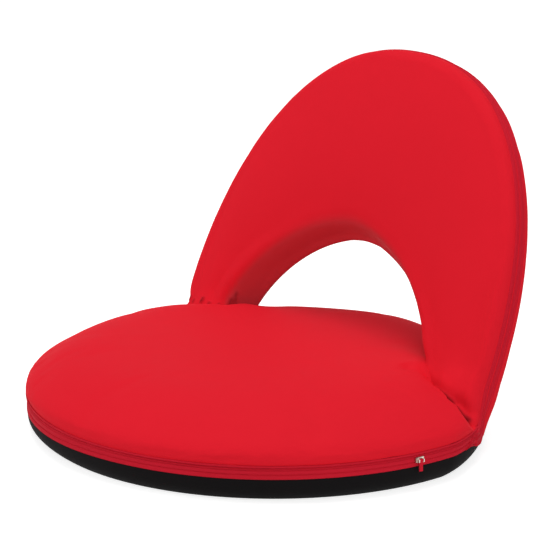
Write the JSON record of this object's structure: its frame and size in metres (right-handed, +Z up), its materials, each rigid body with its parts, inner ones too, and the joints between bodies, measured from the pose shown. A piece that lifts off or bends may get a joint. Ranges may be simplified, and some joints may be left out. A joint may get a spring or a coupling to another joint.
{
  "type": "folding floor chair",
  "caption": "Legless floor chair: round padded seat on a dark base and an arched padded back with a hand opening that folds down on ratchet hinges.",
  "frame": {"origin": "on the floor under the centre of the seat's round front half", "axes": "+Z up, +X to the side that shows the zip slider, -Y the way the sitter faces"},
  "size_m": [0.5166, 0.4874, 0.365],
  "materials": {
    "red_fabric": "smooth tightly woven polyester, red",
    "black_fabric": "plain woven polyester, black",
    "foam": "open-cell polyurethane foam",
    "black_steel": "black powder coat",
    "zinc_steel": "zinc plated",
    "webbing": "flat woven strap",
    "zip_coil": "closed coil zip, dyed to match",
    "slider_metal": "plated",
    "pull_tab": "small woven tab"
  },
  "bodies": {
    "seat": {"base_cover": "black_fabric", "base_pad": "foam", "ledge_cover": "red_fabric", "seat_core_foam": "foam", "seat_top_foam": "foam", "seat_top_cover": "red_fabric", "seat_gusset": "red_fabric", "seat_zip_chain": "zip_coil", "seat_front_tube": "black_steel", "seat_rear_tube": "black_steel", "seat_front_bar": "black_steel", "seat_rear_bar": "black_steel", "seat_webbing": "webbing", "left_inner_plate": "zinc_steel", "left_outer_plate": "zinc_steel", "right_inner_plate": "zinc_steel", "right_outer_plate": "zinc_steel", "hinge_rivets": "zinc_steel", "pivot_rivets": "zinc_steel", "spacer_bushes": "zinc_steel", "pawl_pins": "zinc_steel", "spring_pins": "zinc_steel", "left_pawl_spring": "zinc_steel", "right_pawl_spring": "zinc_steel", "left_boot": "red_fabric", "right_boot": "red_fabric"},
    "back": {"back_tube": "black_steel", "back_lower_bar": "black_steel", "back_upper_bar": "black_steel", "back_webbing": "webbing", "back_front_foam": "foam", "back_core_foam": "foam", "back_rear_foam": "foam", "back_front_cover": "red_fabric", "back_rear_cover": "red_fabric", "back_gusset": "red_fabric", "back_opening_gusset": "red_fabric", "back_zip_chain": "zip_coil", "left_ratchet_arm": "zinc_steel", "right_ratchet_arm": "zinc_steel", "arm_rivets": "zinc_steel"},
    "left_pawl": {"left_pawl": "zinc_steel"},
    "right_pawl": {"right_pawl": "zinc_steel"},
    "zip_slider": {"zip_slider": "slider_metal"},
    "zip_pull": {"zip_pull": "pull_tab"}
  },
  "joints": [
    {"name": "back_fold", "type": "hinge", "parent": "seat", "child": "back", "pos_m": [0, 0.0649, 0.06], "axis": [1, 0, 0], "range_deg": [-26.67, 93.33], "deforming": ["left_boot", "right_boot"]},
    {"name": "left_pawl_swing", "type": "hinge", "parent": "seat", "child": "left_pawl", "pos_m": [-0.186, 0.0569, 0.0504], "axis": [1, 0, 0], "range_deg": [0, 8]},
    {"name": "right_pawl_swing", "type": "hinge", "parent": "seat", "child": "right_pawl", "pos_m": [0.186, 0.0569, 0.0504], "axis": [1, 0, 0], "range_deg": [0, 8]},
    {"name": "zip_travel", "type": "hinge", "parent": "seat", "child": "zip_slider", "pos_m": [0, 0, 0.031], "axis": [0, 0, 1], "range_deg": [-160, 5]},
    {"name": "pull_swing", "type": "hinge", "parent": "zip_slider", "child": "zip_pull", "pos_m": [0.25757, -0.04403, 0.031], "axis": [-0.1685, -0.9857, 0], "range_deg": [0, 150]}
  ]
}
